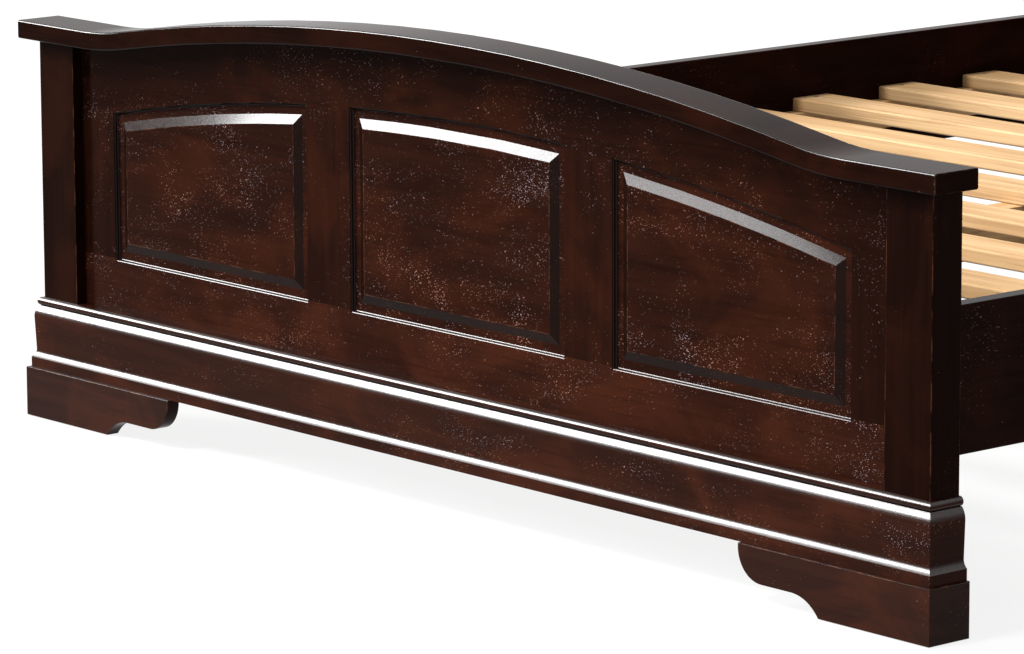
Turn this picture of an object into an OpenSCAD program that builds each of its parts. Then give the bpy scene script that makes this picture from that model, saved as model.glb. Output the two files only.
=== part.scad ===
// Panel bed in dark stained hardwood: a low framed footboard under an arched cap,
// standing on a moulded base with bracket feet, a taller headboard of the same build,
// hook-on side rails, and slats carried by ledges and a legged centre beam.
// Millimetres, +Z up, feet on Z = 0, footboard towards -Y, centred on X and Y.

/* [Mattress] */
// Width of the mattress that the bed takes
mattress_w = 1524; // [1370:1:1930]
// Length of the mattress that the bed takes
mattress_l = 2032; // [1880:1:2130]
// Room between the mattress and each side rail
mattress_side_gap = 7.5; // [3:0.5:20]
// Room between the mattress and each end board, half at each end
mattress_end_gap = 28; // [10:1:60]

/* [Posts] */
// Width of a post, across the bed
post_w = 71; // [55:1:95]
// Depth of a post, along the bed
post_d = 44; // [40:1:60]
// How far a post stands out past the side rail's outer face
post_past_rail = 10; // [2:1:25]

/* [Cap] */
// Height of the footboard at its ends, to the top of the cap
footboard_h = 516; // [470:1:620]
// Height of the headboard at its ends, to the top of the cap
headboard_h = 1160; // [1000:1:1400]
// Thickness of the cap
cap_t = 23.5; // [18:0.5:32]
// How far the cap stands out past the posts at each side
cap_side_over = 20.5; // [5:0.5:35]
// How far the cap stands out past the front of the posts
cap_front_over = 19; // [5:0.5:35]
// How far the cap stands out past the back of the posts
cap_back_over = 3; // [0:0.5:20]
// Rounding of the cap's long edges
cap_edge_r = 2.5; // [1:0.5:6]
// Rise of the arch above the cap's flat ends
arch_rise = 58; // [25:1:90]
// Length of the cap's flat end on each side
cap_flat = 140.6; // [125:0.2:180]
// Radius of the hollow bend between the flat end and the arch
hollow_r = 450; // [250:10:700]

/* [Frames] */
// Thickness of the rails and uprights
frame_t = 25; // [22:0.5:27]
// How far the frame is set back from the front of the posts
frame_set_back = 14; // [8:0.5:16]
// Face width of the uprights beside the posts
stile_w = 66; // [45:1:90]
// Face width of the uprights between the panels
muntin_w = 82.5; // [50:0.5:110]
// Face height of the arched top rail at the middle
top_rail_face = 74; // [55:1:110]
// Drop of the panel heads from the middle to the outer corners
panel_head_drop = 66; // [30:1:80]
// Face height of the footboard's bottom rail above the base moulding
bottom_rail_face = 63; // [35:1:90]
// Height of the footboard's bottom rail below the top of the base moulding
bottom_rail_hidden = 46; // [35:1:60]
// Length of the tenons that hold the rails in the posts
tenon_l = 30; // [15:1:45]
// Thickness of those tenons
tenon_t = 10; // [6:0.5:14]
// Shoulder above and below a tenon
tenon_shoulder = 12; // [8:0.5:16]

/* [Raised panels] */
// Width of the moulded edge round each panel opening
sticking_w = 4; // [2:0.25:6]
// Flat step at the start of that moulded edge
sticking_step = 0.7; // [0.3:0.1:1.5]
// Depth from the frame's face to the panel's flat margin
panel_depth = 5; // [4:0.25:8]
// Width of the flat margin round the panel
panel_margin = 10; // [5:0.5:20]
// Width of the sloping border round the raised field
panel_bevel = 12; // [6:0.5:25]
// Width of the groove that holds a panel
groove_w = 6.4; // [4:0.2:9]
// Depth of that groove
groove_d = 8.5; // [6:0.5:12]
// Room for the panel to swell at the bottom of the groove
panel_float = 0.8; // [0.3:0.1:2]
// Room between a panel's tongue and each side of the groove
panel_clear = 0.15; // [0.05:0.05:0.4]

/* [Base of the footboard] */
// Height of the bracket feet
foot_h = 65; // [62:1:90]
// How far the feet stand out past the posts
foot_out = 18; // [14:0.5:26]
// Length of a bracket foot along the front
foot_l = 300.5; // [240:0.5:380]
// Length of a bracket foot where it meets the floor
foot_floor_l = 171; // [120:1:200]
// Height of the scroll's lower lobe above the floor
lobe_z = 23; // [15:0.5:26]
// Radius of the hollow between the floor and the lobe
scroll_hollow_r = 53.5; // [35:0.5:80]
// Radius of the scroll's nose
scroll_nose_r = 38; // [25:0.5:41]
// Gap between the bracket feet and the floor
foot_clear = 1; // [0.5:0.5:4]
// Height of the base moulding above the feet
moulding_h = 91.5; // [80:0.5:120]
// Radius of the bead along its top
bead_r = 5.6; // [4:0.1:8]
// How far the bead's centre stands out past the posts
bead_out = 1; // [0.5:0.5:3]
// How far the moulding stands out past the posts right under the bead
quirk_out = 4.5; // [3:0.5:6]
// How far the fascia at its foot stands out past the posts
fascia_out = 13; // [11:0.5:17]
// Height of that fascia
fascia_h = 13; // [8:0.5:20]
// Radius of the hollow above the fascia
cove_r = 12.5; // [8:0.5:18]
// How far the moulding's waist stands out past the posts
waist_out = 8; // [6:0.5:10]
// How far its swell stands out past the posts
swell_out = 9.7; // [7:0.1:13]
// Radius of the swell's rounded shoulder
swell_r = 21.5; // [16:0.5:30]

/* [Headboard] */
// Height of the lower edge of the headboard's raised panels
head_panel_z = 600; // [480:1:720]
// Height of the headboard's middle rail
middle_rail_h = 100; // [70:1:140]
// Height of the underside of the headboard's bottom rail
head_bottom_z = 170; // [100:1:200]
// Height of the headboard's bottom rail
head_bottom_h = 120; // [90:1:160]

/* [Side rails] */
// Thickness of a side rail
rail_t = 25; // [20:1:32]
// Height of a side rail
rail_h = 165; // [140:1:220]
// Height of the underside of the side rails
rail_z = 197; // [160:1:240]
// Rounding of the side rails' long edges
rail_edge_r = 3; // [1:0.5:6]

/* [Rail hooks] */
// Thickness of the hook plates and slotted plates
plate_t = 3; // [2:0.5:4]
// Height of a hook plate
hook_plate_h = 116; // [100:1:130]
// Length of a hook plate inside the rail
hook_plate_l = 55; // [40:1:80]
// Height of a hook's neck
hook_neck_h = 18; // [12:1:24]
// Drop of a hook's nose behind the slotted plate
hook_drop = 8; // [5:0.5:10]
// Length of a hook's nose
hook_nose_l = 7; // [5:0.5:10]
// Height between the two hooks of a plate
hook_pitch = 66; // [50:1:74]
// Width of a slotted plate
slot_plate_w = 20; // [16:1:26]
// Room above and below a hook in its slot
hook_room = 1; // [0.5:0.5:2]
// Distance from a slot to the screw beyond it, and from the screw to the plate's end
slot_plate_margin = 6; // [5:0.5:8]
// Length of the screws that hold a slotted plate
slot_screw_l = 20; // [14:1:28]
// How far a hook plate's screws stop short of the rail's outer face
hook_screw_short = 5; // [3:0.5:8]
// Room between metal plates and what they fit in
plate_clear = 0.3; // [0.1:0.1:0.6]

/* [Slats and ledges] */
// Width of the ledge along each rail
ledge_w = 25; // [18:1:40]
// Height of that ledge
ledge_h = 38; // [25:1:50]
// Height of the ledge's underside above the rail's underside
ledge_up = 35; // [5:1:60]
// Gap between a ledge's end and the post beyond it
ledge_gap = 10; // [2:1:30]
// Number of screws in a ledge
ledge_screw_n = 7; // [4:1:10]
// Number of slats
slat_n = 12; // [8:1:16]
// Width of a slat
slat_w = 70; // [50:1:90]
// Thickness of a slat
slat_t = 19; // [15:1:25]
// Rounding of the slats' long edges
slat_edge_r = 3; // [1:0.5:5]
// Room between the slats' ends and the side rails
slat_end_gap = 1; // [0.5:0.5:5]
// Room between the first and last slats and the end boards
slat_first_gap = 45; // [20:1:90]

/* [Centre support] */
// Width of the centre beam
beam_w = 38; // [30:1:50]
// Height of the centre beam
beam_h = 60; // [50:1:75]
// Room between the beam and the end boards
beam_end_gap = 1; // [0.5:0.5:5]
// Length of the blocks that carry the beam's ends
beam_seat_l = 160; // [100:5:260]
// Height and depth of those blocks
beam_seat_t = 36; // [28:1:45]
// Spacing of the three centre legs
leg_pitch = 700; // [500:10:800]
// Width of a centre leg
leg_w = 38; // [32:1:50]
// Diameter of the bolt that joins a leg to the beam
leg_bolt_d = 8; // [6:1:10]
// Depth of that bolt in the leg and in the beam
leg_bolt_in = 32; // [20:1:45]

/* [Glides] */
// Diameter of a levelling glide's foot
glide_d = 30; // [22:1:38]
// Height of a levelling glide's foot
glide_h = 8; // [6:0.5:14]
// Chamfer round the bottom of that foot
glide_chamfer = 1.5; // [0.5:0.5:2.5]
// Height of the cone between that foot and the stem
glide_cone_h = 2.5; // [1:0.5:3]
// Width of the flat round the stem on top of the cone
glide_shoulder = 4; // [1:0.5:5]
// Diameter of its stem
stem_d = 8; // [6:0.5:10]
// How far the stem still reaches past the insert when screwed out
stem_spare = 7.7; // [3:0.1:12]
// Room above the stem in the leg
stem_room = 4; // [2:1:10]
// Outer diameter of the threaded insert in a leg
insert_d = 13; // [12:0.5:16]
// Length of that insert
insert_l = 14; // [10:0.5:20]
// How far a levelling glide can be screwed out
glide_travel = 12; // [5:1:15]
// Room round the stem in the insert
stem_clear = 0.3; // [0.1:0.05:0.4]
// Gap between a leg and its glide's foot when screwed home
glide_gap = 0.3; // [0.3:0.1:1]
// Diameter of the nail-on glides under the posts
nail_glide_d = 26; // [18:1:36]
// Height of those glides
nail_glide_h = 3; // [2:0.5:6]
// Diameter of their nails
nail_d = 2.5; // [1.5:0.1:4]
// Length of their nails in the post
nail_l = 16; // [10:1:24]

/* [Fastenings] */
// Diameter of the dowels in the caps
dowel_d = 10; // [6:1:12]
// Length of those dowels
dowel_l = 40; // [30:1:50]
// Depth of those dowels in the cap
dowel_in_cap = 14; // [8:0.5:16]
// Diameter of a wood screw's shank
screw_d = 4.2; // [3.5:0.1:5]
// Diameter of a wood screw's head
screw_head_d = 8; // [7:0.5:10]
// Width of the glue blocks behind the feet
block_w = 32; // [20:1:45]
// Height of those blocks above the scroll's lower lobe
block_up = 2; // [0:0.5:10]
// Room round dowels, tenons, bolts and screws
wood_clear = 0.1; // [0.05:0.05:0.3]

/* [Hidden] */

$fn = 48;
arc_fn = 1440;
ease_steps = 4;
wood = "#3a1c13";
plain_wood = "#c9a878";
steel = "#8d9196";

// Across the bed: rail faces, post faces and the panel layout
rail_in = mattress_w / 2 + mattress_side_gap;
rail_out = rail_in + rail_t;
post_out = rail_out + post_past_rail;
post_in = post_out - post_w;
cap_half = post_out + cap_side_over;
lip_w = (2 * post_in - 2 * stile_w - 2 * muntin_w) / 3;
panel_pitch = lip_w + muntin_w;
lip_edge = post_in - stile_w;

// Along the bed: the front faces of the footboard's and the headboard's posts
rail_l = mattress_l + mattress_end_gap;
front_over = max(cap_front_over, foot_out);
bed_l = front_over + 2 * post_d + rail_l + cap_back_over;
foot_y = -bed_l / 2 + front_over;
head_y = foot_y + post_d + rail_l;
frame_back = frame_set_back + frame_t;

// The arch is one large circle that runs into the flat ends through the hollow bends
bend_x = cap_half - cap_flat;
arch_r = (pow(bend_x, 2) + pow(arch_rise, 2)) / (2 * arch_rise) - hollow_r;
crown_x = arch_r * bend_x / (arch_r + hollow_r);

// The panel heads lie on one circle
lip_r = (pow(lip_edge, 2) + pow(panel_head_drop, 2)) / (2 * panel_head_drop);
sight_r = lip_r - sticking_w;
function arch_z(h) = h + arch_rise - arch_r;
function lip_z(h) = h + arch_rise - cap_t - top_rail_face - lip_r;
function cap_top(h, x) = abs(x) < crown_x
  ? arch_z(h) + sqrt(pow(arch_r, 2) - pow(x, 2)) : h;

// Heights of the footboard's and the headboard's frames
base_top = foot_h + moulding_h;
foot_bottom_z = base_top - bottom_rail_hidden;
foot_lip = base_top + bottom_rail_face;
foot_sight = foot_lip + sticking_w;
head_sight = head_panel_z + sticking_w;
middle_rail_z = head_sight - middle_rail_h;

// Heights above the feet at which the base moulding's curves begin
swell_z = moulding_h - 2 * bead_r - sqrt(pow(swell_r, 2) - pow(swell_r - swell_out + quirk_out, 2));
waist_z = fascia_h + sqrt(pow(cove_r, 2) - pow(cove_r - fascia_out + waist_out, 2));

// Depths inside the frames, from the front of the posts
groove_y = frame_set_back + panel_depth;
tongue_y0 = groove_y + panel_clear;
tongue_y1 = groove_y + groove_w - panel_clear;
tongue_l = groove_d - panel_float;
tenon_y = frame_set_back + (frame_t - tenon_t) / 2;

// The slat deck and the centre support
ledge_z = rail_z + ledge_up;
deck_z = ledge_z + ledge_h;
slat_half = rail_in - slat_end_gap;
slat_first = foot_y + post_d + slat_first_gap + slat_w / 2;
slat_pitch = (rail_l - 2 * slat_first_gap - slat_w) / (slat_n - 1);
beam_z = deck_z - beam_h;
beam_y0 = foot_y + frame_back + beam_end_gap;
beam_y1 = head_y + frame_set_back - beam_end_gap;
leg_z = glide_h + glide_gap;
stem_l = glide_gap + insert_l + glide_travel + stem_spare;
leg_y0 = (foot_y + post_d + head_y) / 2;
LEGS = [leg_y0 - leg_pitch, leg_y0, leg_y0 + leg_pitch];

// The hooks and the slotted plates
hook_z = rail_z + rail_h / 2;
rail_mid = (rail_in + rail_out) / 2;
hook_screws = [-hook_plate_h / 4, hook_plate_h / 4];
slot_h = hook_neck_h + hook_drop + hook_room;
slot_screw_z = hook_pitch / 2 + slot_h + slot_plate_margin;
slot_plate_h = 2 * slot_screw_z + 2 * slot_plate_margin;

// Draws a shape in the XZ plane and gives it the depth from y0 to y1
module slab(y0, y1) translate([0, y1, 0]) rotate([90, 0, 0]) linear_extrude(y1 - y0) children();

// Turns a section about an axis along Y; the section's x is the radius and its y is Y
module swing() mirror([0, 1, 0]) rotate([90, 0, 0]) rotate_extrude($fn = arc_fn) children();

// Carries a section along the cap's line; its x is the height over the cap's top.
// The boxes that end the rings are wider than any post is deep
module along_arch(h) {
  intersection() {
    translate([0, 0, arch_z(h)]) swing() translate([arch_r, 0]) children();
    translate([-crown_x, -post_w, h - hollow_r / 2]) cube([2 * crown_x, 3 * post_w, hollow_r]);
  }
  for (side = [0, 1]) mirror([side, 0, 0]) {
    intersection() {
      translate([bend_x, 0, h + hollow_r]) swing()
        translate([hollow_r, 0]) mirror([1, 0]) children();
      translate([crown_x, -post_w, h - hollow_r / 2]) cube([bend_x - crown_x, 3 * post_w, hollow_r]);
    }
    translate([bend_x, 0, h]) rotate([0, 90, 0]) linear_extrude(cap_flat) mirror([1, 0]) children();
  }
}

// Rectangle with rounded corners, drawn from its low corner
module soft_rectangle(w, h, r) {
  translate([r, 0]) square([w - 2 * r, h]);
  translate([0, r]) square([w, h - 2 * r]);
  for (x = [r, w - r], y = [r, h - r]) translate([x, y]) circle(r);
}

// The same in short flats, which the bent cap is swept from
module eased_rectangle(w, h, r) polygon([
  for (corner = [[w - r, h - r, 0], [r, h - r, 90], [r, r, 180], [w - r, r, 270]])
    for (i = [0:ease_steps])
      [corner[0] + r * cos(corner[2] + 90 * i / ease_steps),
       corner[1] + r * sin(corner[2] + 90 * i / ease_steps)]]);

module cap_rail(h) color(wood)
  along_arch(h) translate([-cap_t, -cap_front_over])
    eased_rectangle(cap_t, cap_front_over + post_d + cap_back_over, cap_edge_r);

// One edge of a panel opening, seen in section: the air beside the moulded edge.
// x runs outwards from the sight edge and y runs into the frame
module sticking_air(reach) {
  half = sticking_w / 2;
  translate([-reach, -1]) square([reach, 1 + panel_depth]);
  difference() {
    translate([-1, -1]) square([1 + sticking_w, 1 + sticking_step + half]);
    translate([sticking_w, sticking_step + half]) circle(half, $fn = 32);
  }
  translate([0, sticking_step + half]) intersection() {
    circle(half, $fn = 32);
    translate([-half, -1]) square([2 * half, half + 1]);
  }
}

function panel_x(i) = (i - 1) * panel_pitch;

// The moulded edge round one opening, mitred at the corners
module sticking_cut(i, h, sight_z, low = true, high = true) {
  half_w = lip_w / 2 - sticking_w;
  tall = h + arch_rise - sight_z;
  intersection() {
    translate([panel_x(i), frame_set_back, sight_z - 2 * sticking_w]) linear_extrude(tall)
      intersection() {
        translate([half_w, 0]) sticking_air(lip_w);
        translate([-half_w, 0]) mirror([1, 0]) sticking_air(lip_w);
      }
    if (low) translate([panel_x(i) - lip_w, frame_set_back, sight_z]) rotate([0, 90, 0])
      linear_extrude(2 * lip_w) sticking_air(tall);
    if (high) translate([0, frame_set_back, lip_z(h)]) swing()
      translate([sight_r, 0]) sticking_air(tall);
  }
}

// Outline of one opening, grown by e past the sight edge
module opening_outline(i, h, sight_z, e) {
  half_w = lip_w / 2 - sticking_w + e;
  intersection() {
    translate([panel_x(i) - half_w, sight_z - e]) square([2 * half_w, h]);
    translate([0, lip_z(h)]) circle(sight_r + e, $fn = arc_fn);
  }
}

// What is planed off a panel's edge: x runs outwards from the sight edge
module border_air() polygon([
  [groove_d, -1], [groove_d, panel_depth + panel_clear],
  [-panel_margin, panel_depth + panel_clear],
  [-panel_margin - panel_bevel, 0], [-panel_margin - panel_bevel, -1]]);

// Raised panel: a tongue in the grooves, a flat margin and a bevel up to the field
module raised_panel(i, h, sight_z) color(wood) difference() {
  slab(frame_set_back, tongue_y1) opening_outline(i, h, sight_z, tongue_l);
  for (side = [0, 1]) translate([panel_x(i), frame_set_back, sight_z - groove_d])
    mirror([side, 0, 0]) linear_extrude(h) translate([lip_w / 2 - sticking_w, 0]) border_air();
  translate([panel_x(i) - lip_w / 2 - groove_d, frame_set_back, sight_z]) rotate([0, 90, 0])
    linear_extrude(lip_w + 2 * groove_d) border_air();
  translate([0, frame_set_back, lip_z(h)]) swing() translate([sight_r, 0]) border_air();
}

// Upright between the rails, with stub tongues in their grooves
module upright(x0, x1, h, sight_z, beside) color(wood) difference() {
  union() {
    slab(frame_set_back, frame_back) intersection() {
      translate([x0, sight_z]) square([x1 - x0, h]);
      translate([0, lip_z(h)]) circle(sight_r, $fn = arc_fn);
    }
    slab(tongue_y0, tongue_y1) intersection() {
      translate([x0, sight_z - tongue_l]) square([x1 - x0, h]);
      translate([0, lip_z(h)]) circle(sight_r + tongue_l, $fn = arc_fn);
    }
  }
  for (i = beside) {
    sticking_cut(i, h, sight_z);
    slab(groove_y, groove_y + groove_w) opening_outline(i, h, sight_z, groove_d);
  }
}
module stile(side, h, sight_z) {
  inner = lip_edge - sticking_w;
  if (side < 0) upright(-post_in, -inner, h, sight_z, [0]);
  else upright(inner, post_in, h, sight_z, [2]);
}
module muntin(side, h, sight_z) {
  half_w = muntin_w / 2 + sticking_w;
  mid = side * panel_pitch / 2;
  upright(mid - half_w, mid + half_w, h, sight_z, side < 0 ? [0, 1] : [1, 2]);
}

// Tenons at both ends of a rail between the heights t[0] and t[1], grown by e for mortises
module tenons(t, e = 0)
  for (side = [0, 1]) mirror([side, 0, 0])
    translate([post_in - 1, tenon_y - e, t[0] - e])
      cube([tenon_l + 1 + e, tenon_t + 2 * e, t[1] - t[0] + 2 * e]);

function top_tenon(h) = [lip_z(h) + sqrt(pow(lip_r, 2) - pow(post_in, 2)) + tenon_shoulder,
  h - cap_t - tenon_shoulder];
function low_tenon(z0, z1) = [z0 + tenon_shoulder, z1 - groove_d - tenon_shoulder];

module top_rail(h, sight_z) {
  t = top_tenon(h);
  deep = cap_t + top_rail_face + panel_head_drop + 2 * sticking_w;
  color(wood) {
    difference() {
      intersection() {
        along_arch(h) translate([-deep, frame_set_back]) square([deep - cap_t, frame_t]);
        translate([-post_in, 0, 0]) cube([2 * post_in, post_d + 1, h + arch_rise]);
      }
      slab(frame_set_back - 1, frame_back + 1)
        translate([0, lip_z(h)]) circle(sight_r, $fn = arc_fn);
      slab(groove_y, groove_y + groove_w)
        translate([0, lip_z(h)]) circle(sight_r + groove_d, $fn = arc_fn);
      for (i = [0:2]) sticking_cut(i, h, sight_z, low = false);
      cap_dowels(h, wood_clear);
    }
    tenons(t);
  }
}

// Straight rail from z0 to z1, with a groove and moulded edges along its top
module low_rail(z0, z1, h) {
  t = low_tenon(z0, z1);
  color(wood) {
    difference() {
      translate([-post_in, frame_set_back, z0]) cube([2 * post_in, frame_t, z1 - z0]);
      slab(groove_y, groove_y + groove_w)
        translate([-post_in - 1, z1 - groove_d]) square([2 * post_in + 2, groove_d + 1]);
      for (i = [0:2]) sticking_cut(i, h, z1, high = false);
    }
    tenons(t);
  }
}

// Dowels from the cap down into the posts and the top rail
module cap_dowels(h, e = 0) color(plain_wood)
  for (x = [-post_out + post_w / 2, -panel_pitch / 2, panel_pitch / 2, post_out - post_w / 2])
    translate([x, frame_set_back + frame_t / 2, cap_top(h, x) - cap_t + dowel_in_cap + e])
      mirror([0, 0, 1]) cylinder(d = dowel_d + 2 * e, h = dowel_l + 2 * e);

module post(side, h, rails) color(wood) difference() {
  mirror([side < 0 ? 1 : 0, 0, 0]) translate([post_in, 0, nail_glide_h])
    cube([post_w, post_d, h - cap_t - nail_glide_h]);
  for (t = rails) tenons(t, wood_clear);
  cap_dowels(h, wood_clear);
}

// Footboard pieces
foot_rails = [top_tenon(footboard_h), low_tenon(foot_bottom_z, foot_sight)];
module footboard_post(side) translate([0, foot_y, 0]) difference() {
  post(side, footboard_h, foot_rails);
  translate([0, post_d, 0]) mirror([0, 1, 0]) post_cuts(side);
  post_glide(side, wood_clear);
}
module footboard_post_left() footboard_post(-1);
module footboard_post_right() footboard_post(1);
module footboard_cap_rail() translate([0, foot_y, 0]) difference() {
  cap_rail(footboard_h);
  cap_dowels(footboard_h, wood_clear);
}
module footboard_top_rail() translate([0, foot_y, 0]) top_rail(footboard_h, foot_sight);
module footboard_bottom_rail() translate([0, foot_y, 0])
  low_rail(foot_bottom_z, foot_sight, footboard_h);
module footboard_stile_left() translate([0, foot_y, 0]) stile(-1, footboard_h, foot_sight);
module footboard_stile_right() translate([0, foot_y, 0]) stile(1, footboard_h, foot_sight);
module footboard_muntin_left() translate([0, foot_y, 0]) muntin(-1, footboard_h, foot_sight);
module footboard_muntin_right() translate([0, foot_y, 0]) muntin(1, footboard_h, foot_sight);
module footboard_panel_left() translate([0, foot_y, 0]) raised_panel(0, footboard_h, foot_sight);
module footboard_panel_center() translate([0, foot_y, 0]) raised_panel(1, footboard_h, foot_sight);
module footboard_panel_right() translate([0, foot_y, 0]) raised_panel(2, footboard_h, foot_sight);
module footboard_cap_dowels() translate([0, foot_y, 0]) cap_dowels(footboard_h);

// Section of the base moulding: fascia, hollow, waist, swell, quirk and bead.
// x runs outwards from the post's face and y is the height above the feet
module moulding_section() intersection() {
  square([fascia_out, moulding_h]);
  union() {
    difference() {
      polygon([[0, 0], [fascia_out, 0], [fascia_out, fascia_h], [waist_out, waist_z],
        [swell_out, swell_z], [0, swell_z]]);
      intersection() {
        translate([waist_out + cove_r, waist_z]) circle(cove_r);
        square([fascia_out, waist_z]);
      }
    }
    intersection() {
      translate([swell_out - swell_r, swell_z]) circle(swell_r);
      translate([0, swell_z]) square([swell_out, moulding_h - 2 * bead_r - swell_z]);
    }
    translate([0, moulding_h - 2 * bead_r]) square([bead_out, 2 * bead_r]);
    translate([bead_out, moulding_h - bead_r]) circle(bead_r);
  }
}

// Plan areas on either side of the mitres at the corners of the base
module front_zone() translate([0, 0, -1]) linear_extrude(base_top + 2)
  polygon([[-post_out, 0], [post_out, 0],
    [post_out + 2 * foot_out, -2 * foot_out], [-post_out - 2 * foot_out, -2 * foot_out]]);
module side_zone() translate([0, 0, -1]) linear_extrude(base_top + 2)
  polygon([[post_out, 0], [post_out + 2 * foot_out, -2 * foot_out],
    [post_out + 2 * foot_out, post_d], [post_out, post_d]]);

module base_moulding_front() color(wood) translate([0, foot_y, 0]) intersection() {
  translate([0, 0, foot_h]) rotate([90, 0, -90])
    linear_extrude(2 * post_out + 4 * foot_out, center = true) moulding_section();
  front_zone();
}
module base_moulding_return(side) color(wood)
  translate([0, foot_y, 0]) mirror([side < 0 ? 1 : 0, 0, 0]) intersection() {
    translate([post_out, post_d, foot_h]) rotate([90, 0, 0])
      linear_extrude(post_d + 2 * foot_out) moulding_section();
    side_zone();
  }
module base_moulding_return_left() base_moulding_return(-1);
module base_moulding_return_right() base_moulding_return(1);

// Board behind the moulding that fills the frame's set-back between the posts
module base_backing_board() color(wood) translate([-post_in, foot_y, foot_h])
  cube([2 * post_in, frame_set_back, moulding_h]);

// Outline of a bracket foot; x runs inwards from the corner and y is the height
module foot_outline() {
  nose_x = foot_l - scroll_nose_r;
  nose_z = lobe_z + scroll_nose_r;
  hollow_x = foot_floor_l + sqrt(pow(scroll_hollow_r, 2) - pow(scroll_hollow_r - lobe_z, 2));
  difference() {
    union() {
      translate([0, foot_clear]) square([hollow_x, foot_h - foot_clear]);
      translate([0, lobe_z]) square([nose_x, foot_h - lobe_z]);
      translate([0, nose_z]) square([foot_l, foot_h - nose_z]);
      translate([nose_x, nose_z]) circle(scroll_nose_r);
    }
    translate([foot_floor_l, -1]) square([hollow_x - foot_floor_l, 1 + foot_clear]);
    intersection() {
      translate([hollow_x, lobe_z - scroll_hollow_r]) circle(scroll_hollow_r);
      square([hollow_x, lobe_z]);
    }
    translate([0, foot_h]) square([foot_l, 2 * scroll_nose_r]);
  }
}
module bracket_foot(side) color(wood)
  translate([0, foot_y, 0]) mirror([side < 0 ? 1 : 0, 0, 0]) intersection() {
    translate([post_out + foot_out, 0, 0]) mirror([1, 0, 0]) slab(-foot_out, 0) foot_outline();
    front_zone();
  }
module bracket_foot_left() bracket_foot(-1);
module bracket_foot_right() bracket_foot(1);
module foot_return(side) color(wood)
  translate([0, foot_y, 0]) mirror([side < 0 ? 1 : 0, 0, 0]) intersection() {
    translate([post_out, -foot_out, foot_clear])
      cube([foot_out, foot_out + post_d, foot_h - foot_clear]);
    side_zone();
  }
module foot_return_left() foot_return(-1);
module foot_return_right() foot_return(1);

// Glue blocks in the corners between the feet and the backing board
module foot_glue_blocks() color(plain_wood)
  for (side = [0, 1]) mirror([side, 0, 0])
    for (x = [post_in - block_w, post_out + foot_out - foot_floor_l - block_w])
      translate([x, foot_y, lobe_z + block_up])
        cube([block_w, frame_set_back, foot_h - lobe_z - block_up]);

// Flat panel under the headboard's middle rail, grown by e for its grooves in the posts
module lower_panel(e = 0) {
  z0 = head_bottom_z + head_bottom_h - tongue_l - e;
  z1 = middle_rail_z + tongue_l + e;
  translate([-post_in - tongue_l - e, head_y + tongue_y0 - e, z0])
    cube([2 * (post_in + tongue_l + e), tongue_y1 - tongue_y0 + 2 * e, z1 - z0]);
}

// Headboard pieces
head_rails = [top_tenon(headboard_h), low_tenon(middle_rail_z, head_sight),
  low_tenon(head_bottom_z, head_bottom_z + head_bottom_h)];
module headboard_post(side) difference() {
  translate([0, head_y, 0]) difference() {
    post(side, headboard_h, head_rails);
    post_cuts(side);
    post_glide(side, wood_clear);
  }
  lower_panel(panel_clear);
}
module headboard_post_left() headboard_post(-1);
module headboard_post_right() headboard_post(1);
module headboard_cap_rail() translate([0, head_y, 0]) difference() {
  cap_rail(headboard_h);
  cap_dowels(headboard_h, wood_clear);
}
module headboard_top_rail() translate([0, head_y, 0]) top_rail(headboard_h, head_sight);
module headboard_middle_rail() translate([0, head_y, 0]) difference() {
  low_rail(middle_rail_z, head_sight, headboard_h);
  slab(groove_y, groove_y + groove_w)
    translate([-post_in - 1, middle_rail_z - 1]) square([2 * post_in + 2, groove_d + 1]);
}
module headboard_bottom_rail() {
  z1 = head_bottom_z + head_bottom_h;
  t = low_tenon(head_bottom_z, z1);
  color(wood) translate([0, head_y, 0]) {
    difference() {
      translate([-post_in, frame_set_back, head_bottom_z])
        cube([2 * post_in, frame_t, head_bottom_h]);
      slab(groove_y, groove_y + groove_w)
        translate([-post_in - 1, z1 - groove_d]) square([2 * post_in + 2, groove_d + 1]);
    }
    tenons(t);
  }
}
module headboard_stile_left() translate([0, head_y, 0]) stile(-1, headboard_h, head_sight);
module headboard_stile_right() translate([0, head_y, 0]) stile(1, headboard_h, head_sight);
module headboard_muntin_left() translate([0, head_y, 0]) muntin(-1, headboard_h, head_sight);
module headboard_muntin_right() translate([0, head_y, 0]) muntin(1, headboard_h, head_sight);
module headboard_panel_left() translate([0, head_y, 0]) raised_panel(0, headboard_h, head_sight);
module headboard_panel_center() translate([0, head_y, 0]) raised_panel(1, headboard_h, head_sight);
module headboard_panel_right() translate([0, head_y, 0]) raised_panel(2, headboard_h, head_sight);
module headboard_lower_panel() color(wood) lower_panel();
module headboard_cap_dowels() translate([0, head_y, 0]) cap_dowels(headboard_h);

// Wood screw along -Z with its head's face at the origin, grown by e for its hole
module screw(l, e = 0) color(steel) {
  head_h = (screw_head_d - screw_d) / 2;
  translate([0, 0, -head_h - e]) cylinder(d1 = screw_d + 2 * e, d2 = screw_head_d + 2 * e, h = head_h + e);
  translate([0, 0, -l - e]) cylinder(d = screw_d + 2 * e, h = l - head_h + e);
}

// Hook plate in the YZ plane: y runs into the post from the rail's end, z from its middle
module hook_plate_shape() {
  translate([-hook_plate_l, -hook_plate_h / 2]) square([hook_plate_l, hook_plate_h]);
  for (z = [-hook_pitch / 2, hook_pitch / 2]) translate([0, z]) {
    translate([-1, 0]) square([1 + plate_t + plate_clear + hook_nose_l, hook_neck_h]);
    translate([plate_t + plate_clear, -hook_drop]) square([hook_nose_l, hook_drop + 1]);
  }
}

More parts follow.
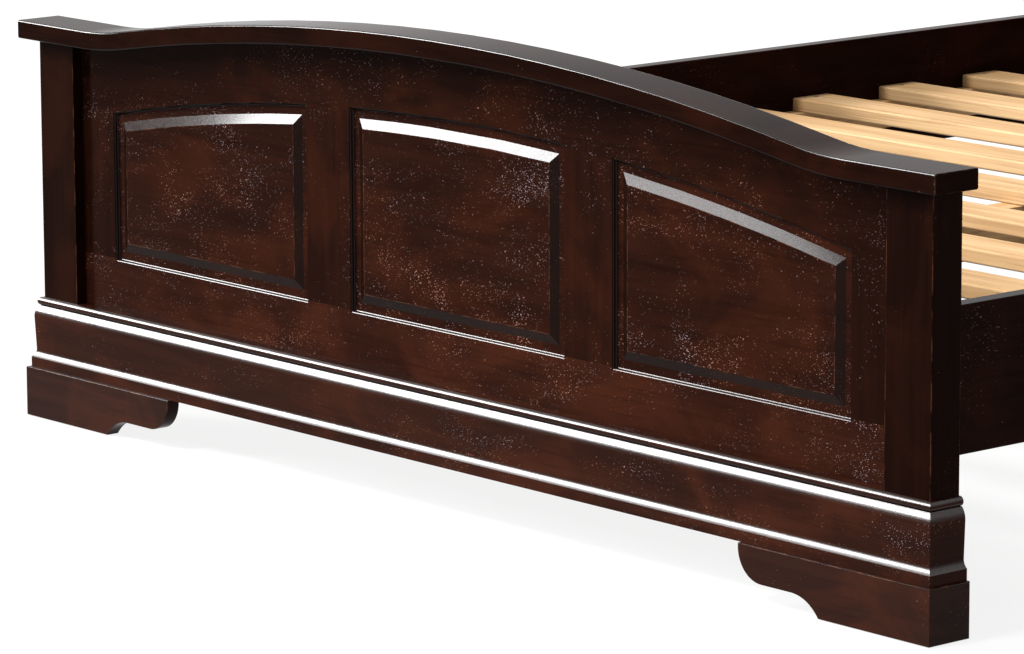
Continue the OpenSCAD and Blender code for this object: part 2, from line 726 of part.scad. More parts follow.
// Places something made for the right rail's footboard end at all four rail ends
module at_rail_ends()
  for (side = [0, 1]) mirror([side, 0, 0]) {
    translate([rail_mid, foot_y + post_d, hook_z]) mirror([0, 1, 0]) children();
    translate([rail_mid, head_y, hook_z]) children();
  }
module hook_plate(t) rotate([90, 0, 90]) linear_extrude(t, center = true) hook_plate_shape();
module hook_plate_screw_set(e = 0)
  for (z = hook_screws) translate([-rail_t / 2, -hook_plate_l / 2, z])
    rotate([0, -90, 0]) screw(rail_t - hook_screw_short, e);
module rail_hook_plates() color(steel) at_rail_ends() difference() {
  hook_plate(plate_t);
  hook_plate_screw_set(wood_clear);
}
module hook_plate_screws() at_rail_ends() hook_plate_screw_set();

// Slots for both hooks from y0 to y1, reaching down by low under the hooks' necks
module hook_slots(w, y0, y1, low)
  for (z = [-hook_pitch / 2, hook_pitch / 2])
    translate([-w / 2, y0, z - low]) cube([w, y1 - y0, low + slot_h]);
module slot_plate_screw_set(e = 0)
  for (z = [-slot_screw_z, slot_screw_z]) translate([0, 0, z]) rotate([90, 0, 0]) screw(slot_screw_l, e);
module post_slot_plates() color(steel) at_rail_ends() difference() {
  translate([-slot_plate_w / 2, 0, -slot_plate_h / 2]) cube([slot_plate_w, plate_t, slot_plate_h]);
  hook_slots(plate_t + 2 * plate_clear, -1, plate_t + 1, 0);
  slot_plate_screw_set(wood_clear);
}
module slot_plate_screws() at_rail_ends() slot_plate_screw_set();

// What is cut from a post for its slotted plate; y runs into the post
module post_cuts(side) mirror([side < 0 ? 1 : 0, 0, 0]) translate([rail_mid, 0, hook_z]) {
  e = wood_clear;
  translate([-slot_plate_w / 2 - e, -1, -slot_plate_h / 2 - e])
    cube([slot_plate_w + 2 * e, 1 + plate_t, slot_plate_h + 2 * e]);
  hook_slots(plate_t + 4 * plate_clear, 0, plate_t + hook_nose_l + 2 * hook_room,
    hook_drop + 2 * hook_room);
  slot_plate_screw_set(e);
}

// Side rail with a sawn slot at each end for its hook plate
module side_rail(side) color(wood) mirror([side < 0 ? 1 : 0, 0, 0]) difference() {
  translate([rail_in, foot_y + post_d, rail_z]) rotate([-90, 0, 0]) mirror([0, 1, 0])
    linear_extrude(rail_l) soft_rectangle(rail_t, rail_h, rail_edge_r);
  for (y = [foot_y + post_d - 1, head_y - hook_plate_l - plate_clear])
    translate([rail_mid - plate_t / 2 - plate_clear, y, hook_z - hook_plate_h / 2 - plate_clear])
      cube([plate_t + 2 * plate_clear, hook_plate_l + plate_clear + 1, hook_plate_h + 2 * plate_clear]);
  at_rail_ends() hook_plate_screw_set(wood_clear);
  ledge_screw_set(wood_clear);
}
module side_rail_left() side_rail(-1);
module side_rail_right() side_rail(1);

// Ledges along the rails, their screws, and the slats laid across them
module ledge_screw_set(e = 0)
  for (i = [0:ledge_screw_n - 1])
    translate([rail_in - ledge_w, foot_y + post_d + rail_l * (i + 0.5) / ledge_screw_n,
      ledge_z + ledge_h / 3]) rotate([0, -90, 0]) screw(ledge_w + rail_t / 2, e);
module slat_screw_set(e = 0)
  for (i = [0:slat_n - 1])
    translate([rail_in - ledge_w / 2, slat_first + i * slat_pitch, deck_z + slat_t])
      screw(slat_t + ledge_h / 2, e);
module slat_ledge(side) color(plain_wood) mirror([side < 0 ? 1 : 0, 0, 0]) difference() {
  translate([rail_in - ledge_w, foot_y + post_d + ledge_gap, ledge_z])
    cube([ledge_w, rail_l - 2 * ledge_gap, ledge_h]);
  ledge_screw_set(wood_clear);
  slat_screw_set(wood_clear);
}
module slat_ledge_left() slat_ledge(-1);
module slat_ledge_right() slat_ledge(1);
module ledge_screws() for (side = [0, 1]) mirror([side, 0, 0]) ledge_screw_set();
module slat_screws() for (side = [0, 1]) mirror([side, 0, 0]) slat_screw_set();
module slats() color(plain_wood) for (i = [0:slat_n - 1]) difference() {
  translate([-slat_half, slat_first + i * slat_pitch - slat_w / 2, deck_z])
    rotate([90, 0, 90]) linear_extrude(2 * slat_half) soft_rectangle(slat_w, slat_t, slat_edge_r);
  for (side = [0, 1]) mirror([side, 0, 0])
    translate([rail_in - ledge_w / 2, slat_first + i * slat_pitch, deck_z + slat_t])
      screw(slat_t + ledge_h / 2, wood_clear);
}

// Centre beam, the blocks under its ends, its legs and their bolts
module leg_bolt_set(e = 0)
  for (y = LEGS) translate([0, y, beam_z - leg_bolt_in - e])
    cylinder(d = leg_bolt_d + 2 * e, h = 2 * leg_bolt_in + 2 * e);
module center_beam() color(plain_wood) difference() {
  translate([-beam_w / 2, beam_y0, beam_z]) cube([beam_w, beam_y1 - beam_y0, beam_h]);
  leg_bolt_set(wood_clear);
}
module beam_seat_blocks() color(plain_wood) {
  for (y = [foot_y + frame_back, head_y + frame_set_back - beam_seat_t])
    translate([-beam_seat_l / 2, y, beam_z - beam_seat_t])
      cube([beam_seat_l, beam_seat_t, beam_seat_t]);
}
module center_legs() color(plain_wood) difference() {
  for (y = LEGS) translate([-leg_w / 2, y - leg_w / 2, leg_z]) cube([leg_w, leg_w, beam_z - leg_z]);
  leg_bolt_set(wood_clear);
  for (y = LEGS) translate([0, y, leg_z - 1]) {
    cylinder(d = insert_d + 2 * wood_clear, h = insert_l + 1 + wood_clear);
    cylinder(d = stem_d + 4 * stem_clear, h = stem_l + stem_room);
  }
}
module leg_bolts() color(steel) leg_bolt_set();
module leg_inserts() color(steel) for (y = LEGS) translate([0, y, leg_z]) difference() {
  cylinder(d = insert_d, h = insert_l);
  translate([0, 0, -1]) cylinder(d = stem_d + 2 * stem_clear, h = insert_l + 2);
}

// Levelling glide: a broad foot on a threaded stem
module leveling_glide(y) color("#222222") translate([0, y, 0]) {
  cone_z = glide_h - glide_cone_h;
  cylinder(d1 = glide_d - 2 * glide_chamfer, d2 = glide_d, h = glide_chamfer);
  translate([0, 0, glide_chamfer]) cylinder(d = glide_d, h = cone_z - glide_chamfer);
  translate([0, 0, cone_z])
    cylinder(d1 = glide_d, d2 = stem_d + 2 * glide_shoulder, h = glide_cone_h);
  translate([0, 0, cone_z]) cylinder(d = stem_d, h = glide_cone_h + stem_l);
}
module leveling_glide_front() leveling_glide(LEGS[0]);
module leveling_glide_middle() leveling_glide(LEGS[1]);
module leveling_glide_rear() leveling_glide(LEGS[2]);

// Nail-on glide under a post: a disc with a short nail
module post_glide(side, e = 0) color("#222222")
  translate([side * (post_out - post_w / 2), post_d / 2, 0]) {
    cylinder(d = nail_glide_d, h = nail_glide_h);
    cylinder(d = nail_d + 2 * e, h = nail_glide_h + nail_l + e);
  }
module post_glides() for (y = [foot_y, head_y], side = [-1, 1])
  translate([0, y, 0]) post_glide(side);

footboard_post_left();
footboard_post_right();
footboard_cap_rail();
footboard_top_rail();
footboard_bottom_rail();
footboard_stile_left();
footboard_stile_right();
footboard_muntin_left();
footboard_muntin_right();
footboard_panel_left();
footboard_panel_center();
footboard_panel_right();
footboard_cap_dowels();
base_moulding_front();
base_moulding_return_left();
base_moulding_return_right();
base_backing_board();
bracket_foot_left();
bracket_foot_right();
foot_return_left();
foot_return_right();
foot_glue_blocks();
headboard_post_left();
headboard_post_right();
headboard_cap_rail();
headboard_top_rail();
headboard_middle_rail();
headboard_bottom_rail();
headboard_stile_left();
headboard_stile_right();
headboard_muntin_left();
headboard_muntin_right();
headboard_panel_left();
headboard_panel_center();
headboard_panel_right();
headboard_lower_panel();
headboard_cap_dowels();
side_rail_left();
side_rail_right();
slat_ledge_left();
slat_ledge_right();
rail_hook_plates();
post_slot_plates();
hook_plate_screws();
slot_plate_screws();
ledge_screws();
slats();
slat_screws();
center_beam();
beam_seat_blocks();
center_legs();
leg_bolts();
leg_inserts();
leveling_glide_front();
leveling_glide_middle();
leveling_glide_rear();
post_glides();
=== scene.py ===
import math

import bpy
from mathutils import Matrix, Vector


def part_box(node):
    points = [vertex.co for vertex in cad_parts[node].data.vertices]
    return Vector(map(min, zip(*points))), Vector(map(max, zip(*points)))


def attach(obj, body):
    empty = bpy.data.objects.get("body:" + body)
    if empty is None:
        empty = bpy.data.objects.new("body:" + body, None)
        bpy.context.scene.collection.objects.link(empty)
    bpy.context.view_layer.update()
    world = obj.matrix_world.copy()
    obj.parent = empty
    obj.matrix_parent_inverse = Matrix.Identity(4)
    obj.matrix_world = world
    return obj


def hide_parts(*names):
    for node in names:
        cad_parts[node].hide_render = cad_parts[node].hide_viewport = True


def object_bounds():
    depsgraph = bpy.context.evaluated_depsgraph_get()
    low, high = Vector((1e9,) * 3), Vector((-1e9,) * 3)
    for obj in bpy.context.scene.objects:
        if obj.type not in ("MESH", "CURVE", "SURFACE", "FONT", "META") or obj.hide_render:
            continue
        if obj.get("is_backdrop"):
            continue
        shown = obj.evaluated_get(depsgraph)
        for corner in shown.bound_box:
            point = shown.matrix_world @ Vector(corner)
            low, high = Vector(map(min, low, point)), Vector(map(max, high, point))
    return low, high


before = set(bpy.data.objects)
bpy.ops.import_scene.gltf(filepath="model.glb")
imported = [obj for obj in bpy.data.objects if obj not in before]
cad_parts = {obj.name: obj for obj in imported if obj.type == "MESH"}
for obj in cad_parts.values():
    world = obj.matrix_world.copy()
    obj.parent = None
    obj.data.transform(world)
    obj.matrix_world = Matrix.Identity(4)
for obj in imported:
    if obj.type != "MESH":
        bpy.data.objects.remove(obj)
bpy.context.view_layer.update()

# Studio: a floor and a room that show white, a high light in front of the footboard and
# softer ones on its left, and a long lens that looks from the right.
bpy.context.scene.view_settings.view_transform = "Standard"
bpy.ops.object.select_all(action="DESELECT")


class Tone:
    """One output among a material's nodes. Sums add Math nodes, node() adds any other."""

    def __init__(self, tree, socket=None):
        self.tree = tree
        self.socket = socket

    def node(self, kind, settings=None, sockets=None, output=0):
        made = self.tree.nodes.new("ShaderNode" + kind)
        for name, value in (settings or {}).items():
            setattr(made, name, value)
        for name, value in (sockets or {}).items():
            if isinstance(value, Tone):
                self.tree.links.new(value.socket, made.inputs[name])
            else:
                made.inputs[name].default_value = value
        return Tone(self.tree, made.outputs[output])

    def sum(self, operation, first, second):
        return self.node("Math", {"operation": operation}, {0: first, 1: second})

    def __add__(self, other):
        return self.sum("ADD", self, other)

    def __radd__(self, other):
        return self.sum("ADD", other, self)

    def __sub__(self, other):
        return self.sum("SUBTRACT", self, other)

    def __rsub__(self, other):
        return self.sum("SUBTRACT", other, self)

    def __mul__(self, other):
        return self.sum("MULTIPLY", self, other)

    def __rmul__(self, other):
        return self.sum("MULTIPLY", other, self)

    def between(self, low, high, floor_value=0.0, top_value=1.0):
        """Carries the values from low to high over to floor_value to top_value."""
        return self.node("MapRange", {"interpolation_type": "SMOOTHSTEP"},
                         {"Value": self, "From Min": low, "From Max": high,
                          "To Min": floor_value, "To Max": top_value})

    def colour(self, first, second):
        """Goes from the first colour to the second as this value goes from 0 to 1."""
        return self.node("Mix", {"data_type": "RGBA"}, {0: self, 6: first, 7: second}, 2)

    def relief(self, strength, distance):
        """The slopes of a surface that rises by this value times the distance in metres."""
        return self.node("Bump", {}, {"Strength": strength, "Distance": distance,
                                      "Height": self})

    def feed(self, shader, socket):
        """Links this output to a socket of the shader."""
        self.tree.links.new(self.socket, shader.inputs[socket])


def new_finish(name):
    """A new node material, with its tree and its shader."""
    finish = bpy.data.materials.new(name)
    finish.use_nodes = True
    return finish, finish.node_tree, finish.node_tree.nodes["Principled BSDF"]


def towards_the_eye(tree):
    """1 for rays that show a surface to the camera, straight or in a mirror or glass."""
    rays = [Tone(tree).node("LightPath", output=kind)
            for kind in ("Is Camera Ray", "Is Glossy Ray", "Is Transmission Ray")]
    return rays[0] + rays[1] + rays[2]


floor_size = 240.0
floor_grey = (0.30, 0.30, 0.30, 1.0)
glow_share = 0.62
glow_strength = 1.38
bpy.ops.mesh.primitive_plane_add(size=floor_size, location=(0.0, 0.0, 0.0))
floor = bpy.context.object
floor.name = "floor"
floor_finish, tree, shader = new_finish("pale_floor")
tree.nodes.remove(shader)
paint = Tone(tree).node("BsdfDiffuse", {}, {"Color": floor_grey})
glow = Tone(tree).node("Emission", {}, {"Strength": glow_strength})
lit_floor = Tone(tree).node("MixShader", {}, {0: towards_the_eye(tree) * glow_share, 1: paint,
                                              2: glow})
lit_floor.feed(tree.nodes["Material Output"], "Surface")
floor.data.materials.append(floor_finish)
floor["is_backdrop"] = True

white = (1.0, 1.0, 1.0, 1.0)
room_fill = 0.50
room = bpy.data.worlds.new("room")
room.use_nodes = True
bpy.context.scene.world = room
tree = room.node_tree
tree.nodes.remove(tree.nodes["Background"])
even_light = Tone(tree).node("Background", {}, {"Color": white, "Strength": room_fill})
white_room = Tone(tree).node("Background", {}, {"Color": white, "Strength": 1.0})
lit_room = Tone(tree).node("MixShader", {}, {0: towards_the_eye(tree), 1: even_light,
                                             2: white_room})
lit_room.feed(tree.nodes["World Output"], "Surface")

light_distance = 6.0
for name, towards_light, strength, width in (
        ("front_soft_light", (-0.15, -0.58, 0.80), 2.8, 12.0),
        ("low_soft_light", (-0.780, -0.545, 0.315), 2.3, 12.4),
        ("side_soft_light", (-0.66, -0.67, 0.36), 0.36, 8.0),
        ("high_soft_light", (-0.744, -0.468, 0.477), 2.0, 13.0),
        ("wide_soft_light", (-0.744, -0.34, 0.58), 1.3, 22.0)):
    light_at = Vector(towards_light).normalized()
    bpy.ops.object.light_add(type="SUN", location=light_at * light_distance)
    light = bpy.context.object
    light.name = name
    light.data.energy = strength
    light.data.angle = math.radians(width)
    light.rotation_mode = "QUATERNION"
    light.rotation_quaternion = light_at.to_track_quat("Z", "Y")

camera_place = (4.8423, -5.1362, 1.4477)
lens_length = 192.208
sensor_width = 36.0
farthest_seen = 300.0
bearing = math.radians(49.2468)
pitch = math.radians(10.8848)
roll = math.radians(-0.22629)
level_right = Vector((math.cos(bearing), math.sin(bearing), 0.0))
level_up = Vector((-math.sin(bearing) * math.sin(pitch),
                   math.cos(bearing) * math.sin(pitch), math.cos(pitch)))
towards = Vector((-math.sin(bearing) * math.cos(pitch),
                  math.cos(bearing) * math.cos(pitch), -math.sin(pitch)))
right = math.cos(roll) * level_right + math.sin(roll) * level_up
up = -math.sin(roll) * level_right + math.cos(roll) * level_up
bpy.ops.object.camera_add(location=camera_place)
camera = bpy.context.object
camera.name = "camera"
camera.data.lens = lens_length
camera.data.sensor_width = sensor_width
camera.data.sensor_fit = "HORIZONTAL"
camera.data.clip_end = farthest_seen
camera.rotation_mode = "QUATERNION"
camera.rotation_quaternion = Matrix((right, up, -towards)).transposed().to_quaternion()
bpy.context.scene.camera = camera


# Footboard posts: solid hardwood, planed square, mortised for the rails, with eased
# arrises and a dark brown stain under satin lacquer. The cap sits on their tops.
def wood_space(tree, along, shift):
    """The piece's own place in metres, with the grain turned to run along X."""
    turn = {"X": (0.0, 0.0, 0.0), "Y": (0.0, 0.0, -math.pi / 2), "Z": (0.0, math.pi / 2, 0.0)}
    place = Tone(tree).node("TexCoord", output=3)
    return place.node("Mapping", {}, {"Vector": place, "Location": shift,
                                      "Rotation": turn[along]})


def noise(space, across, along, detail=2.0, twist=0.0):
    """Noise of so many lumps a metre across the grain and along it."""
    spread = space.node("Mapping", {}, {"Vector": space, "Scale": (along, across, across)})
    return spread.node("TexNoise", {}, {"Vector": spread, "Scale": 1.0, "Detail": detail,
                                        "Roughness": 0.55, "Distortion": twist})


def stained_hardwood(name, along, shift, pore_glints=0.4, depth=1.0, film=0.20, haze=0.08,
                     sheen=0.012):
    """Dark stain under satin lacquer, with open pores. The glints off the pores are painted
    into the colour as pale flecks, a painted highlight, and the pores are also pits in the
    relief. The argument after shift says how many pores show. A board takes more or less
    stain: its colours are depth times the usual, and on some boards a lower depth stands
    in for painted shade and a higher one for painted reflection. The moulded faces are
    painted darker, as painted shade. Film is the weight of the lacquer on moulded faces,
    where it dries thick, and haze is its roughness. Sheen is the specular level of the
    flat faces."""
    def stain(red, green, blue):
        return (red * depth, green * depth, blue * depth, 1.0)

    finish, tree, shader = new_finish(name)
    space = wood_space(tree, along, shift)

    moulded = Tone(tree).node("Attribute", {"attribute_name": "moulded"}, output=2)
    worn = Tone(tree).node("Attribute", {"attribute_name": "arris"}, output=2)

    streaks = noise(space, 240.0, 7.0, 4.0, 0.4)
    figure = noise(space, 30.0, 2.6, 3.0, 1.2)
    patches = noise(space, 11.0, 7.0, 6.0, 0.6)
    clusters = noise(space, 13.0, 8.0, 5.0, 0.9)
    peel = noise(space, 460.0, 260.0, 2.0)
    pores = noise(space, 820.0, 400.0, 1.0)
    # Glinting pores: pits in the relief, and painted glints in the colour, fewer on moulded
    # faces.
    least = 1.01 - pore_glints * 0.10
    open_pores = (pores + clusters * 0.42).between(least, least + 0.055)
    glinting_pores = open_pores * (1 - moulded.between(0.0, 0.4) * 0.85)
    wear = worn * noise(space, 60.0, 40.0, 3.0).between(0.42, 0.62)

    dark_figure = stain(0.0135, 0.0038, 0.0022)
    light_figure = stain(0.0215, 0.0062, 0.0033)
    warm_patch = stain(0.048, 0.0120, 0.0050)
    dark_streak = stain(0.0070, 0.0024, 0.0014)
    painted_bevel_shade = stain(0.0055, 0.0020, 0.0013)
    # Pale pore colours: painted glints, a painted highlight, cool or warm by the patches.
    cool_pore_glint = (0.34, 0.26, 0.29, 1.0)
    warm_pore_glint = (0.50, 0.25, 0.18, 1.0)
    bare_edge = (0.16, 0.060, 0.030, 1.0)
    body = figure.between(0.30, 0.70).colour(dark_figure, light_figure)
    warm = (patches.between(0.44, 0.68) * 0.46).colour(body, warm_patch)
    lined = (streaks.between(0.52, 0.72) * 0.38).colour(warm, dark_streak)
    # Painted shade: the moulded faces, the bevels and sticking, are made darker.
    shaded_bevels = (moulded.between(0.0, 0.40) * 0.60).colour(lined, painted_bevel_shade)
    painted_pore_glint = patches.between(0.40, 0.60).colour(cool_pore_glint, warm_pore_glint)
    # Painted highlight: pale flecks where the pores glint.
    with_painted_glints = (glinting_pores * 0.52).colour(shaded_bevels, painted_pore_glint)
    rubbed = (wear * 0.30).colour(with_painted_glints, bare_edge)
    rubbed.feed(shader, "Base Color")

    dull = 0.10 + patches * 0.07 + glinting_pores * 0.20 + wear * 0.12 + streaks * 0.03
    dull.feed(shader, "Roughness")

    peel_height = 0.00035
    height = peel * (0.45 + moulded * 1.05) - glinting_pores * 0.40 - streaks * 0.10
    height.relief(0.30, peel_height).feed(shader, "Normal")

    coat = moulded * film * (0.80 + pores.between(0.35, 0.62) * 0.20)
    coat.feed(shader, "Coat Weight")
    shader.inputs["Coat Roughness"].default_value = haze
    shader.inputs["Specular IOR Level"].default_value = sheen
    return finish


def fresh_copy(node, name):
    """A new piece with the shape of a node of the frame, its loose triangles merged."""
    weld_distance = 0.00001
    flat_turn = math.radians(0.4)
    bpy.ops.object.select_all(action="DESELECT")
    piece = bpy.data.objects.new(name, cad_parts[node].data.copy())
    bpy.context.scene.collection.objects.link(piece)
    piece.select_set(True)
    bpy.context.view_layer.objects.active = piece
    piece.data.materials.clear()
    bpy.ops.mesh.customdata_custom_splitnormals_clear()
    bpy.ops.object.mode_set(mode="EDIT")
    bpy.ops.mesh.select_all(action="SELECT")
    bpy.ops.mesh.remove_doubles(threshold=weld_distance)
    bpy.ops.mesh.dissolve_limited(angle_limit=flat_turn)
    bpy.ops.object.mode_set(mode="OBJECT")
    return piece


def pick_edges(piece, wanted, least_turn=20.0):
    """Selects the edges that turn by at least so many degrees and that wanted accepts."""
    mesh = piece.data
    faces_at = {}
    for face in mesh.polygons:
        for key in face.edge_keys:
            faces_at.setdefault(key, []).append(face)
    for part in (mesh.vertices, mesh.edges, mesh.polygons):
        for item in part:
            item.select = False
    for edge in mesh.edges:
        beside = faces_at.get(edge.key, [])
        if len(beside) != 2:
            continue
        turn = math.degrees(beside[0].normal.angle(beside[1].normal, 0.0))
        start, end = (mesh.vertices[i].co for i in edge.vertices)
        if turn >= least_turn and wanted(start, end):
            edge.select = True
            mesh.vertices[edge.vertices[0]].select = True
            mesh.vertices[edge.vertices[1]].select = True


def ease(piece, width):
    """Rounds the picked edges and marks the new strips as arrises, which wear first.
    A strip is told by its area: less than 1.6 times its longest side by the width."""
    piece.data.attributes.new("arris", "FLOAT", "FACE")
    widest_strip = 1.6 * width
    steps = 2
    bpy.context.tool_settings.mesh_select_mode = (False, True, False)
    bpy.ops.object.mode_set(mode="EDIT")
    bpy.ops.mesh.bevel(offset=width, offset_type="OFFSET", segments=steps, profile=0.5,
                       affect="EDGES", clamp_overlap=False)
    bpy.ops.object.mode_set(mode="OBJECT")
    mark = piece.data.attributes["arris"]
    mesh = piece.data
    for face in mesh.polygons:
        length = max((mesh.vertices[a].co - mesh.vertices[b].co).length
                     for a, b in face.edge_keys)
        if face.select and face.area < widest_strip * length:
            mark.data[face.index].value = 1.0


def mark_moulded(piece, facing=1, least=0.015, full=0.016):
    """Marks the faces that slope away from the piece's flat side, which faces along
    axis 0 or 1. Lacquer gathers on them and stays glossy, less on those that stand
    upright or look down, and stained_hardwood paints them darker as painted shade.
    Least and full say at which slope, as one less its cosine, the mark starts and is
    whole. Faces square to the flat side stay unmarked."""
    square = 0.95
    looks_up = 0.05
    share_elsewhere = 0.40
    mark = piece.data.attributes.new("moulded", "FLOAT", "FACE")
    for face in piece.data.polygons:
        slope = 1.0 - abs(face.normal[facing])
        if least < slope < square:
            share = min(1.0, (slope - least) / (full - least))
            if face.normal.z < looks_up:
                share *= share_elsewhere
            mark.data[face.index].value = share


def lay_in(piece, node, body, finish, smooth=32.0):
    """Gives the piece its finish and its place among the bodies of the frame."""
    piece.data.materials.append(finish)
    bpy.ops.object.select_all(action="DESELECT")
    piece.select_set(True)
    bpy.context.view_layer.objects.active = piece
    bpy.ops.object.shade_smooth_by_angle(angle=math.radians(smooth))
    even = piece.modifiers.new("even_shading", "WEIGHTED_NORMAL")
    even.keep_sharp = True
    bpy.ops.object.modifier_apply(modifier=even.name)
    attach(piece, body)
    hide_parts(node)


same_place = 0.00002


def lies_at(start, end, axis, place):
    """True for an edge whose two ends lie at that place along the axis."""
    return abs(start[axis] - place) < same_place and abs(end[axis] - place) < same_place


def on_outline(low, high):
    """Accepts an edge that lies on two faces of the box between low and high."""
    def accepts(start, end):
        faces = [(axis, side[axis]) for axis in range(3) for side in (low, high)]
        return sum(lies_at(start, end, axis, place) for axis, place in faces) >= 2
    return accepts


def lay_post(node, shift):
    """A post with its outer arrises eased. Shift picks its place in the timber."""
    post_arris = 0.0011
    post = fresh_copy(node, node + "_lacquered")
    low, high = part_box(node)
    pick_edges(post, on_outline(low, high))
    ease(post, post_arris)
    lay_in(post, node, "bed_frame",
           stained_hardwood(node + "_stain", "Z", shift, pore_glints=0.1, depth=0.42))


lay_post("footboard_post_left", (-0.3, 0.11, 0.4))
lay_post("footboard_post_right", (0.3, 0.11, 0.4))


# Caps: one wide board for each end, sawn to the arch, with its long edges rounded over
# and its ends square. Dowels hold it down on the posts and the top rail.
cap_arris = 0.0012
for number, node in enumerate(("footboard_cap_rail", "headboard_cap_rail")):
    cap = fresh_copy(node, node + "_lacquered")
    low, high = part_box(node)

    def on_an_end(start, end, low=low, high=high):
        return lies_at(start, end, 0, low.x) or lies_at(start, end, 0, high.x)
    pick_edges(cap, on_an_end)
    ease(cap, cap_arris)
    mark_moulded(cap)
    lay_in(cap, node, "bed_frame",
           stained_hardwood(node + "_stain", "X", (1.7 + number, 0.6, 0.2), pore_glints=0.1,
                            depth=0.45, film=0.50, haze=0.12, sheen=0.010), smooth=28.0)


# Rails and uprights of both frames: planed boards tenoned into the posts, with the
# moulded edge round each panel opening run on them and mitred at the corners.
# Each board has its grain, its place in the timber and its depth of stain. The low
# depths of the top rails and the high one of the footboard's bottom rail are partly
# painted shade under the caps and painted reflection low down.
boards = {
    "footboard_top_rail": ("X", (0.2, 3.1, 0.7), 0.62),
    "footboard_bottom_rail": ("X", (1.4, 2.2, 0.1), 1.10),
    "footboard_stile_left": ("Z", (2.9, 0.4, 0.8), 0.60),
    "footboard_stile_right": ("Z", (3.3, 1.4, 0.9), 0.52),
    "footboard_muntin_left": ("Z", (4.1, 0.9, 1.3), 0.70),
    "footboard_muntin_right": ("Z", (4.6, 1.9, 1.7), 0.70),
    "headboard_top_rail": ("X", (5.2, 3.4, 0.3), 0.5),
    "headboard_middle_rail": ("X", (6.2, 1.3, 0.6), 0.8),
    "headboard_bottom_rail": ("X", (7.1, 0.3, 1.6), 0.9),
    "headboard_stile_left": ("Z", (5.9, 2.4, 2.8), 0.6),
    "headboard_stile_right": ("Z", (6.3, 3.4, 3.9), 0.55),
    "headboard_muntin_left": ("Z", (7.1, 4.9, 2.3), 0.65),
    "headboard_muntin_right": ("Z", (7.6, 5.9, 3.7), 0.7),
}
for node, (along, shift, depth) in boards.items():
    board = fresh_copy(node, node + "_lacquered")
    mark_moulded(board)
    pore_glints = 0.8 if "footboard" in node and along == "X" else 0.35
    lay_in(board, node, "bed_frame",
           stained_hardwood(node + "_stain", along, shift, pore_glints, depth, film=0.45,
                            haze=0.13))


# Raised panels: glued-up boards planed to a tongue, a flat margin and a bevel, with
# arched heads. They float in the grooves of the frame, without glue.
field_arris = 0.0006
bevel_turn = 12.0
for number, node in enumerate(("footboard_panel_left", "footboard_panel_center",
                               "footboard_panel_right", "headboard_panel_left",
                               "headboard_panel_center", "headboard_panel_right")):
    panel = fresh_copy(node, node + "_lacquered")
    field_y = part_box(node)[0].y

    def round_the_field(start, end, field_y=field_y):
        return lies_at(start, end, 1, field_y)
    pick_edges(panel, round_the_field, bevel_turn)
    ease(panel, field_arris)
    mark_moulded(panel)
    lay_in(panel, node, "bed_frame",
           stained_hardwood(node + "_stain", "X", (0.9 * number, 0.35, 0.23 * number),
                            pore_glints=0.93 if "footboard" in node else 0.4, depth=0.83,
                            film=0.28), smooth=15.0)


# Base moulding: run in one length along the front and mitred round the posts, glued
# and pinned to the board behind it. A bead, a swell, a hollow and a flat foot.
for number, node in enumerate(("base_moulding_front", "base_moulding_return_left",
                               "base_moulding_return_right", "base_backing_board")):
    strip = fresh_copy(node, node + "_lacquered")
    facing, along = (0, "Y") if "return" in node else (1, "X")
    mark_moulded(strip, facing, least=0.0005, full=0.085)
    # The high depth makes the moulding lighter, partly as painted reflection low on the
    # footboard.
    lay_in(strip, node, "bed_frame",
           stained_hardwood(node + "_stain", along, (2.3 + number, 0.7, 0.5 * number),
                            pore_glints=0.6, depth=1.08, film=1.0, haze=0.28, sheen=0.03),
           smooth=25.0)


# Bracket feet: thick boards sawn to a scroll, mitred to their side returns and stiffened
# by glue blocks. They carry nothing, and stop just short of the floor.
foot_arris = 0.0012
for number, node in enumerate(("bracket_foot_left", "bracket_foot_right",
                               "foot_return_left", "foot_return_right")):
    foot = fresh_copy(node, node + "_lacquered")
    low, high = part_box(node)
    outer_x = high.x if high.x > 0 else low.x
    facing, along = (0, "Y") if "return" in node else (1, "X")

    def off_the_mitre(start, end, facing=facing, front_y=low.y, outer_x=outer_x):
        """Accepts the outer face's edges, but not the one that meets the other half."""
        on_front = lies_at(start, end, 1, front_y)
        on_side = lies_at(start, end, 0, outer_x)
        return on_side and not on_front if facing == 0 else on_front and not on_side
    pick_edges(foot, off_the_mitre)
    ease(foot, foot_arris)
    mark_moulded(foot, facing)
    lay_in(foot, node, "bed_frame",
           stained_hardwood(node + "_stain", along, (4.4 + number, 1.7, 0.9 * number),
                            pore_glints=0.25, depth=1.03, sheen=0.06))


# Headboard posts and its flat lower panel: posts as those of the footboard but taller,
# and a thin panel in grooves below the middle rail.
lay_post("headboard_post_left", (-1.3, 2.11, 1.4))
lay_post("headboard_post_right", (1.3, 2.11, 1.4))
node = "headboard_lower_panel"
lower_panel = fresh_copy(node, node + "_lacquered")
lay_in(lower_panel, node, "bed_frame",
       stained_hardwood(node + "_stain", "X", (8.3, 2.6, 4.4), depth=0.8))


# Side rails: straight boards with rounded long edges, with a sawn slot in each end
# for its hook plate. They hook into the posts.
for number, node in enumerate(("side_rail_left", "side_rail_right")):
    rail = fresh_copy(node, node + "_lacquered")
    lay_in(rail, node, "bed_frame",
           stained_hardwood(node + "_stain", "Y", (0.7, 1.9 * number, 3.3), depth=0.6),
           smooth=28.0)


